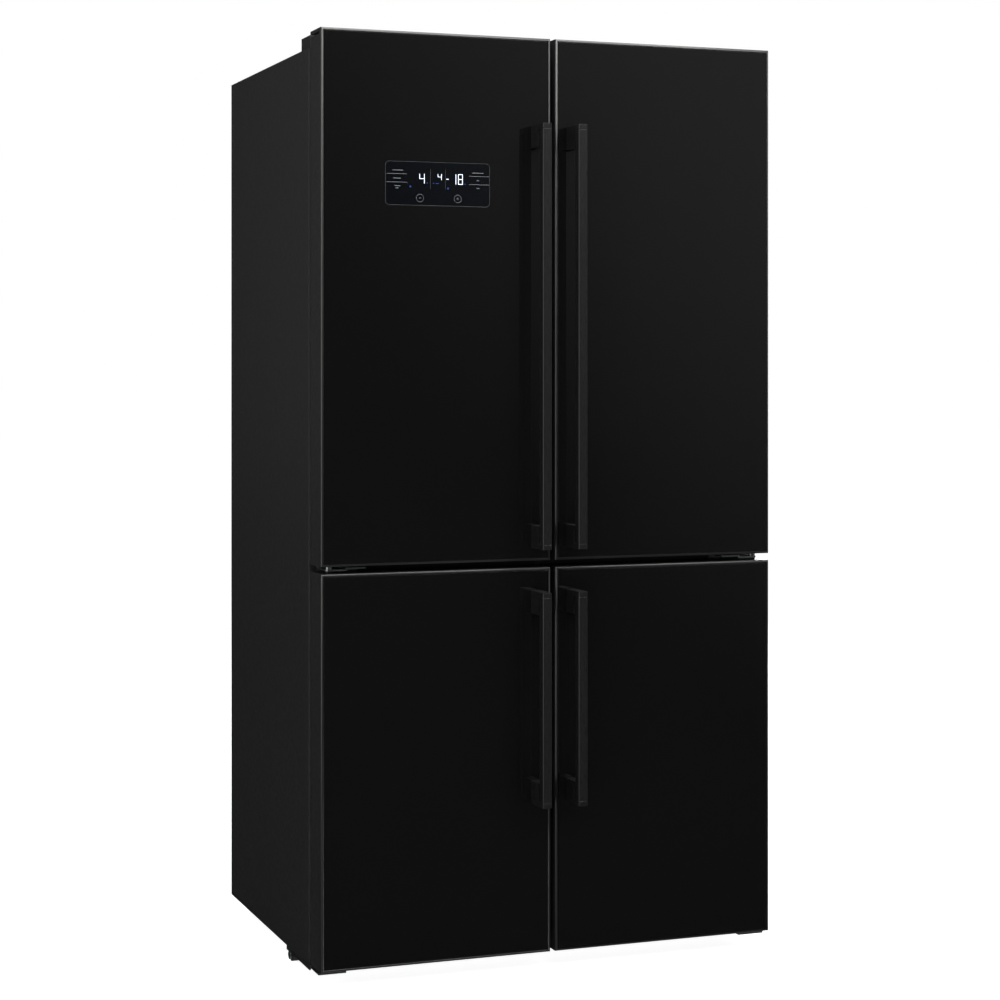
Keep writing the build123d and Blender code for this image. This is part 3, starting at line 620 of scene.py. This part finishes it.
def control_panel():
    """Dark window in the upper left door: figures, plain marks and small lights behind it."""
    body = "upper_left_door"
    eased_copy("control_panel_glass", "control_panel", 0.2 * MM, "display_glass")
    outline = ring_block(
        "control_panel_outline", (PANEL_LOW.x, PANEL_HIGH.x),
        (PANEL_LOW.y - INK, PANEL_LOW.y + INK), (PANEL_LOW.z, PANEL_HIGH.z), 7.5 * MM, 0.5 * MM,
    )
    finished(outline, MATERIALS["grey_ink"], body)

    figures = (
        digit("4", 66, 22, 10.5, 18.5, 1.3)
        + digit("4", 102, 21.5, 8, 11.5, 1.1)
        + digit("-", 118.5, 25.5, 5.5, 11, 1.4)
        + digit("1", 130.5, 21, 8, 19.5, 1.4)
        + digit("8", 142, 21, 9.5, 19.5, 1.4)
    )
    finished(merged("panel_figures", figures), MATERIALS["cool_led"], body)

    marks = []
    line, dash, step = 0.4, 1.1, 1.9
    for left, tops in ((2.5, (23, 38.5)), (163.5, (24, 39.5))):
        marks += [on_panel("mark", (left, left + 40), (top, top + line)) for top in tops]
    for left, right, top in (
        (14, 35, 16), (15, 31, 31), (18, 30, 45), (20, 26, 49),
        (170, 193, 17.5), (179, 186, 31.5), (179, 186, 46),
    ):
        for i in range(int((right - left) / step)):
            start = left + i * step
            marks.append(on_panel("mark", (start, start + dash), (top, top + dash)))
    for across in (67.3, 141.4):
        marks.append(ring_mark(across, 67.2, 7.1))
        marks.append(on_panel("mark", (across - 2.4, across + 2.4), (67, 67.4)))
    marks.append(on_panel("mark", (141.2, 141.6), (64.8, 69.6)))
    finished(merged("panel_print", marks), MATERIALS["white_ink"], body)

    dividers = [on_panel("mark", (x, x + line), (13, 50)) for x in (87.5, 117)]
    finished(merged("panel_dividers", dividers), MATERIALS["grey_ink"], body)

    lights = [
        on_panel("light", (47, 50), (45, 48)),
        on_panel("light", (80.5, 82.5), (38, 40)),
        on_panel("light", (93, 95), (38.5, 40)),
        on_panel("light", (98, 104), (39, 40)),
        on_panel("light", (121, 123.5), (46.5, 50)),
        on_panel("light", (155, 157), (38.5, 40.5)),
    ]
    for light in lights:
        round_edges(light, runs_in_depth, 0.4 * MM, 2)
    finished(merged("panel_indicators", lights), MATERIALS["blue_led"], body)


def ring_mark(across, down, radius):
    """A thin printed circle."""
    place = (PANEL_LOW.x + across * MM, PANEL_LOW.y, PANEL_HIGH.z - down * MM)
    bpy.ops.mesh.primitive_torus_add(
        location=place, rotation=(math.radians(90), 0, 0), major_segments=48,
        minor_segments=6, major_radius=radius * MM, minor_radius=0.16 * MM,
    )
    ring = settled("mark")
    alone(ring)
    bpy.ops.object.mode_set(mode="EDIT")
    bpy.ops.mesh.select_all(action="SELECT")
    bpy.ops.transform.resize(value=(1, 0.4, 1), center_override=place)
    close_edit()
    return ring


# ------------------------------------------------------------------ backs of the doors
GASKET_WIDTH = 18 * MM
# Heights of the gasket's foot and fold, as shares of its thickness.
GASKET_FOOT, GASKET_FOLD = 0.18, (0.38, 0.58)


def door_back(row, hand):
    """Vacuum-formed inner panel, with its raised ring rounded as it leaves the mould."""
    node = f"door_liner_{row}_{hand}"
    eased_copy(f"door_back_{row}_{hand}", node, 1.2 * MM, "white_liner", 3)


def door_seal(row, hand):
    """Magnetic gasket: a soft tube with side folds, on a flat foot pressed into the door."""
    node = f"door_gasket_{row}_{hand}"
    low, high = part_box(node)
    thick = high.y - low.y
    foot = low.y + GASKET_FOOT * thick
    fold = [low.y + share * thick for share in GASKET_FOLD]
    ring = block(f"door_seal_{row}_{hand}", (low.x, high.x), (low.y, high.y), (low.z, high.z))
    cut(ring, (1, foot), (1, fold[0]), (1, fold[1]))
    pick(ring, "FACE", lambda c, n: abs(n.y) > 0.9)
    bpy.ops.mesh.inset(thickness=GASKET_WIDTH, use_even_offset=True)
    bpy.ops.mesh.bridge_edge_loops(number_cuts=3, interpolation="LINEAR")
    close_edit()
    groove(ring, lambda c, n: fold[0] < c.y < fold[1] and abs(n.y) < 0.5, 1.8 * MM)
    groove(ring, lambda c, n: foot < c.y < fold[0] and abs(n.y) < 0.5, 0.8 * MM)
    ease(ring, 0.6 * MM, 2)
    finished(ring, MATERIALS["seal_rubber"], f"{row}_{hand}_door", [node])


# ------------------------------------------------------------------ fastenings
SCREW_RADIUS = 3.5 * MM
SCREW_HEIGHT = 1.6 * MM
CAP_WIDTH = 93 * MM


def screw(place, normal, radius, height):
    """Pan-head screw: a domed head with a drive recess."""
    place, normal = Vector(place), Vector(normal)
    top = place + normal * height
    head = rod("screw", (place, top), radius, 20)
    round_edges(
        head, lambda a, b: min((a - top).dot(normal), (b - top).dot(normal)) > -0.1 * TOUCH,
        0.7 * MM, 3,
    )
    sink(
        head, lambda c, n: n.dot(normal) > 0.99 and (c - top).length < 0.1 * MM,
        0.35 * radius, 0.7 * MM,
    )
    return head


def screws(
    name, places, normal, body, radius=SCREW_RADIUS, height=SCREW_HEIGHT
):
    """A row of the same screw, each with its own mesh, as one piece."""
    heads = [screw(places[0], normal, radius, height)]
    for place in places[1:]:
        alone(heads[0])
        bpy.ops.object.duplicate()
        bpy.ops.transform.translate(value=Vector(place) - Vector(places[0]))
        bpy.ops.object.transform_apply(location=True)
        heads.append(bpy.context.object)
    row = merged(name, heads)
    shade(row, 35)
    return finished(row, MATERIALS["zinc"], body)


def hinge_cap_screws():
    """One screw in each cap over a top hinge, its head level with the highest part of the cap."""
    low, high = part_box("top_hinge_covers")
    height = 0.8 * MM
    y, z = (low.y + high.y) / 2, high.z - height
    places = [(low.x + CAP_WIDTH / 2, y, z), (high.x - CAP_WIDTH / 2, y, z)]
    screws("hinge_cap_screws", places, (0, 0, 1), "cabinet", 4 * MM, height)


def handle_screws(row, hand):
    """Grub screws in each handle foot, their ends just inside its lower face."""
    low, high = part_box(f"door_handle_{row}_{hand}")
    x, y = (low.x + high.x) / 2, high.y - 12 * MM
    places = [(x, y, low.z + 0.3 * MM), (x, y, high.z - STANDOFF_HEIGHT + 0.3 * MM)]
    screws(
        f"handle_screws_{row}_{hand}", places, (0, 0, -1), f"{row}_{hand}_door", 2.5 * MM,
        0.25 * MM,
    )


# ------------------------------------------------------------------ cabinet
SHEET = 1 * MM
FRONT_RETURN = 14 * MM
REAR_RETURN = 11 * MM
FOLD_RADIUS = 1.5 * MM
FRONT_CORNER_RADIUS = 2.5 * MM
EDGE_TO_SCREW = 14 * MM
CORNER_TO_SCREW = 20 * MM
GRILLE_EDGE_TO_SCREW = 8 * MM


def cabinet_side(hand):
    """Side sheet folded over at its front and rear edges, with a rolled front corner."""
    side = HANDS[hand]
    node = f"{hand}_side_panel"
    low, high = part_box(node)
    sheet = block(f"side_sheet_{hand}", (low.x, high.x), (low.y, high.y), (low.z, high.z))
    cut(sheet, (1, low.y + SHEET), (1, high.y - SHEET))
    extrude(
        sheet, lambda c, n: n.x * side < -0.9 and c.y < low.y + SHEET,
        (-side * FRONT_RETURN, 0, 0),
    )
    extrude(
        sheet, lambda c, n: n.x * side < -0.9 and c.y > high.y - SHEET,
        (-side * REAR_RETURN, 0, 0),
    )
    outer, inner = side * max(abs(low.x), abs(high.x)), side * min(abs(low.x), abs(high.x))
    for x, y, radius in (
        (inner, low.y + SHEET, FOLD_RADIUS), (outer, low.y, FRONT_CORNER_RADIUS),
    ):
        round_edges(
            sheet, lambda a, b: abs(a.x - x) + abs(b.x - x) < TOUCH
            and abs(a.y - y) + abs(b.y - y) < TOUCH, radius, 6,
        )
    ease(sheet, 0.25 * MM, 2)
    finished(sheet, MATERIALS["cabinet_paint"], "cabinet", [node])


def front_frame():
    """Sheet round the openings, between the folds of the two side sheets."""
    frame_sheet = copied_solid("front_frame_sheet", "front_frame")
    low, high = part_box("front_frame")
    for side, edge in ((-1, low.x), (1, high.x)):
        pick(frame_sheet, "FACE", lambda c, n: abs(c.x - edge) < TOUCH and n.x * side > 0.9)
        bpy.ops.transform.translate(value=(-side * (FRONT_RETURN + 0.2 * MM), 0, 0))
        close_edit()
    ease(frame_sheet, 0.3 * MM, 2)
    finished(
        frame_sheet, MATERIALS["cabinet_paint"], "cabinet", ["front_frame"]
    )


def pressed_sheet(name, node, axis, columns, rows, rim, raise_by, material):
    """A flat sheet stiffened by a grid of shallow pressed fields."""
    low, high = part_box(node)
    sheet = block(name, (low.x, high.x), (low.y, high.y), (low.z, high.z))
    across, up = (0, 2) if axis == 1 else (0, 1)
    for direction, count in ((across, columns), (up, rows)):
        step = (high[direction] - low[direction]) / count
        cut(sheet, *[(direction, low[direction] + step * i) for i in range(1, count)])
    pick(sheet, "FACE", lambda c, n: n[axis] > 0.9)
    bpy.ops.mesh.inset(thickness=rim, use_individual=True)
    bpy.ops.mesh.inset(thickness=1.3 * abs(raise_by), use_individual=True)
    move = [0, 0, 0]
    move[axis] = raise_by
    bpy.ops.transform.translate(value=move)
    close_edit()
    ease(sheet, 0.3 * MM, 2, 15)
    finished(sheet, MATERIALS[material], "cabinet", [node])


def cabinet_back():
    """Rear and top sheets, the slotted sheet over the machine space, and their screws."""
    pressed_sheet(
        "rear_sheet", "rear_panel", 1, 3, 4, 34 * MM, 2.4 * MM, "zinc"
    )
    pressed_sheet(
        "top_sheet", "top_panel", 2, 2, 1, 70 * MM, -0.6 * MM, "cabinet_paint"
    )
    eased_copy("grille_sheet", "machine_cover", 0.25 * MM, "zinc")
    low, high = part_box("rear_panel")
    span = high.x - low.x - 2 * CORNER_TO_SCREW
    columns = [low.x + CORNER_TO_SCREW + i * span / 4 for i in range(5)]
    places = [(x, high.y, high.z - EDGE_TO_SCREW) for x in columns]
    places += [(x, high.y, low.z + EDGE_TO_SCREW) for x in columns]
    places += [
        (x, high.y, low.z + (high.z - low.z) * t)
        for x in (low.x + EDGE_TO_SCREW, high.x - EDGE_TO_SCREW) for t in (0.25, 0.5, 0.75)
    ]
    screws("rear_screws", places, (0, 1, 0), "cabinet")
    low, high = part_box("machine_cover")
    heights = (low.z + GRILLE_EDGE_TO_SCREW, high.z - GRILLE_EDGE_TO_SCREW)
    places = [(x, high.y, z) for x in columns for z in heights]
    screws("grille_screws", places, (0, 1, 0), "cabinet")


# ------------------------------------------------------------------ inside
STRIP_NOSE = 6 * MM
STRIP_LAP = 10 * MM
STRIP_SLOT = 9 * MM
RIB_PITCH = 5 * MM


def levels(node):
    """The heights between which each flat plate of a node lies."""
    heights = sorted({round(v.co.z, 5) for v in frame["nodes"][node].data.vertices})
    return list(zip(heights[::2], heights[1::2]))


def shelf_fronts(hand):
    """White edge strips, slotted over the front edge of each glass shelf."""
    low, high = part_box(f"shelves_{hand}")
    front, back = low.y - STRIP_NOSE, low.y + STRIP_LAP
    strips = []
    for bottom, top in levels(f"shelves_{hand}"):
        strip = block("strip", (low.x, high.x), (front, back), (bottom - 5 * MM, top + 3 * MM))
        cut(strip, (2, bottom), (2, top))
        groove(strip, lambda c, n: n.y > 0.9 and bottom < c.z < top, STRIP_SLOT)
        round_edges(
            strip, lambda a, b: not runs_in_depth(a, b) and abs(a.y - front) < TOUCH
            and abs(a.z - b.z) < TOUCH, 3 * MM,
        )
        ease(strip, 0.4 * MM)
        strips.append(strip)
    finished(
        merged(f"shelf_strips_{hand}", strips), MATERIALS["white_liner"], "cabinet",
    )


def lamp_lenses():
    """Ribbed diffusers over the lamps in the ceilings."""
    lens = copied_solid("lamp_lenses", "lamps")
    low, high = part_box("lamps")
    spots = int((high.x - low.x) / RIB_PITCH)
    cut(lens, *[(0, low.x + (i + 0.5) * RIB_PITCH) for i in range(spots)])
    pick(
        lens, "FACE",
        lambda c, n: n.z < -0.9 and int((c.x - low.x) / RIB_PITCH + 0.5) % 2 == 1,
    )
    bpy.ops.mesh.inset(thickness=0.4 * MM)
    push_in(1.2 * MM)
    close_edit()
    ease(lens, 0.3 * MM, 2)
    finished(lens, MATERIALS["lamp_lens"], "cabinet", ["lamps"])


def drawer_grip(name):
    """Soft strip along the pull of a clear drawer."""
    low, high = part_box(name)
    mesh = frame["nodes"][name].data
    tub = [v.co.x for v in mesh.vertices if v.co.y < low.y + 1 * MM]
    x = (min(tub) + 40 * MM, max(tub) - 40 * MM)
    grip = block(
        f"{name}_grip", x, (low.y - 1.5 * MM, low.y + 0.5 * MM), (high.z - 12 * MM, high.z - 2 * MM)
    )
    sink(grip, lambda c, n: n.y < -0.9, 1.5 * MM, 0.6 * MM)
    ease(grip, 0.4 * MM, 2)
    finished(grip, MATERIALS["white_liner"], f"{name}_body")


def bin_rail(hand):
    """Bright rail along the rim of each door bin."""
    node = f"door_bins_{hand}"
    low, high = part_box(node)
    mesh = frame["nodes"][node].data
    rims = sorted({round(v.co.z, 5) for v in mesh.vertices if v.co.y > high.y - 0.1 * MM})
    rails = []
    for top in rims[1::2]:
        rail = block(
            "rail", (low.x, high.x), (high.y - 3.5 * MM, high.y + 1.5 * MM),
            (top - 6 * MM, top + 1.5 * MM),
        )
        sink(rail, lambda c, n: n.y > 0.9, 1.2 * MM, 0.5 * MM)
        ease(rail, 0.8 * MM, 3)
        rails.append(rail)
    finished(
        merged(f"bin_rails_{hand}", rails), MATERIALS["satin_chrome"], f"upper_{hand}_door",
    )


# name of the piece, node, edge radius in mm, material, slot
PLAIN_PIECES = [
    ("hinge_caps", "top_hinge_covers", 0.8, "black_plastic", "black_plastic"),
    ("top_hinge_arms", "top_hinges", 0.4, "zinc", "galvanised_steel"),
    ("bottom_hinge_brackets", "bottom_hinges", 0.4, "zinc", "galvanised_steel"),
    ("base_sheet", "base_pan", 0.3, "zinc", "galvanised_steel"),
    ("coil_ducts", "evaporator_covers", 0.8, "white_liner", "white_plastic"),
    ("compressor_shell", "compressor", 0.6, "compressor_enamel", "compressor_paint"),
    ("fan_mount", "fan_bracket", 0.5, "black_plastic", "black_plastic"),
    ("fan_wheel", "condenser_fan", 0.4, "black_plastic", "black_plastic"),
]


def plain_pieces():
    """Every piece whose shape is that of its solid, with its edges broken."""
    for name, node, radius, material, slot in PLAIN_PIECES:
        eased_copy(name, node, radius * MM, material)
    for hand in HANDS:
        eased_copy(f"shelf_panes_{hand}", f"shelves_{hand}", 0.8 * MM, "shelf_glass")
        eased_copy(f"bin_tubs_{hand}", f"door_bins_{hand}", 0.8 * MM, "clear_bin")
        eased_copy(
            f"foot_disc_{hand}", f"levelling_foot_{hand}", 0.5 * MM, "black_plastic",
        )
        for end in ("front", "rear"):
            eased_copy(
                f"{end}_wheel_{hand}", f"{end}_roller_{hand}", 0.8 * MM, "black_plastic",
            )
        for row in ROWS:
            eased_copy(
                f"compartment_{row}_{hand}", f"liner_{row}_{hand}", 0.6 * MM, "white_liner",
            )
        for level in ("crisper", "bottom", "top"):
            node = f"{level}_drawer_{hand}"
            eased_copy(f"{level}_tub_{hand}", node, 0.8 * MM, "clear_bin")
            drawer_grip(node)


for row in ROWS:
    for hand in HANDS:
        door_case(row, hand)
        glass_front(row, hand)
        handle(row, hand)
        handle_screws(row, hand)
        door_back(row, hand)
        door_seal(row, hand)
control_panel()
for hand in HANDS:
    cabinet_side(hand)
    shelf_fronts(hand)
    bin_rail(hand)
front_frame()
hinge_cap_screws()
cabinet_back()
lamp_lenses()
middle_hinges()
plain_pieces()


# ------------------------------------------------------------------ studio
LIT_POINT = (0, 0, 0.9)
# name, place in metres, size in metres, power in watts
SOFTBOXES = [
    ("overhead_softbox", (-0.6, -1.2, 3.8), (3.2, 4.6), 200),
    ("left_softbox", (-3.8, -1.6, 1.4), (2.6, 3.8), 44),
    ("rear_left_softbox", (-2.8, 3.4, 2.1), (2.4, 3.0), 2.2),
    ("front_softbox", (2.3, -4.0, 4.0), (1.8, 1.8), 115),
    ("back_softbox", (3.4, 3.4, 2.4), (2.6, 3.2), 160),
]
EYE = (-1.5944, -4.3273, 1.1472)
EYE_TURN = -20.33
FOCAL_LENGTH = 81.99  # in millimetres
LENS_SHIFT = -0.1357


def studio():
    """White surroundings for the camera, a dark room with a soft glow for the reflections."""
    world = bpy.data.worlds.new("studio")
    bpy.context.scene.world = world
    world.use_nodes = True
    tree = world.node_tree
    tree.nodes.clear()
    place = add_node(tree, "TexCoord", {}, {})
    glow_side = Vector((0.7, -0.6, 0.4)).normalized()
    lean = add_node(
        tree, "VectorMath", {"operation": "DOT_PRODUCT"},
        {0: place.outputs["Generated"], 1: glow_side},
    )
    room = add_node(
        tree, "MapRange", {"interpolation_type": "SMOOTHSTEP"},
        {"Value": lean.outputs["Value"], "From Min": 0.77, "From Max": 0.93,
         "To Min": 0.0, "To Max": 0.3},
    )
    split = add_node(tree, "SeparateXYZ", {}, {"Vector": place.outputs["Generated"]})
    ground = add_node(
        tree, "MapRange", {},
        {"Value": split.outputs["Z"], "From Min": -0.35, "From Max": -0.9,
         "To Min": 0.0, "To Max": 0.35},
    )
    glow = add_node(tree, "Math", {"operation": "ADD"}, {0: room.outputs[0], 1: ground.outputs[0]})
    ray = add_node(tree, "LightPath", {}, {})
    dim = add_node(tree, "Background", {}, {"Color": (1, 1, 1, 1), "Strength": glow.outputs[0]})
    bright = add_node(tree, "Background", {}, {"Color": (1, 1, 1, 1), "Strength": 1.0})
    both = add_node(
        tree, "MixShader", {},
        {0: ray.outputs["Is Camera Ray"], 1: dim.outputs[0], 2: bright.outputs[0]},
    )
    add_node(tree, "OutputWorld", {}, {"Surface": both.outputs[0]})

    bpy.ops.mesh.primitive_plane_add(size=60)
    floor = settled("studio_floor")
    material, tree, shader = new_material(
        "studio_floor", Base_Color=colour("#e8e8e6"), Roughness=0.9, Emission_Color=(1, 1, 1, 1)
    )
    spot = add_node(tree, "TexCoord", {}, {})
    reach = add_node(
        tree, "VectorMath", {"operation": "LENGTH"}, {0: spot.outputs["Object"]}
    )
    # Painted light: the floor glows by its own emission, at 0.93 within 0.8 m of the fridge and
    # rising to 1.0 at 3 m. The dimmer glow near the fridge is painted shade that lets the real
    # shadows under it show.
    floor_glow_dim_near_fridge = add_node(
        tree, "MapRange", {},
        {"Value": reach.outputs["Value"], "From Min": 0.8, "From Max": 3.0,
         "To Min": 0.93, "To Max": 1.0},
    )
    tree.links.new(floor_glow_dim_near_fridge.outputs[0], shader.inputs["Emission Strength"])
    floor.data.materials.append(material)
    floor.visible_glossy = False

    for name, place, size, power in SOFTBOXES:
        lamp = bpy.data.lights.new(name, "AREA")
        lamp.shape = "RECTANGLE"
        lamp.size, lamp.size_y = size
        lamp.energy = power
        holder = bpy.data.objects.new(name, lamp)
        bpy.context.scene.collection.objects.link(holder)
        holder.location = place
        aim = Vector(LIT_POINT) - Vector(place)
        holder.rotation_euler = aim.to_track_quat("-Z", "Y").to_euler()
    bpy.context.scene.view_settings.view_transform = "Standard"


def camera():
    """A level camera left of the front, its lens shifted so that uprights stay upright."""
    lens = bpy.data.cameras.new("camera")
    lens.lens = FOCAL_LENGTH
    lens.shift_y = LENS_SHIFT
    eye = bpy.data.objects.new("camera", lens)
    bpy.context.scene.collection.objects.link(eye)
    eye.location = EYE
    eye.rotation_euler = (math.radians(90), 0, math.radians(EYE_TURN))
    bpy.context.scene.camera = eye


studio()
camera()
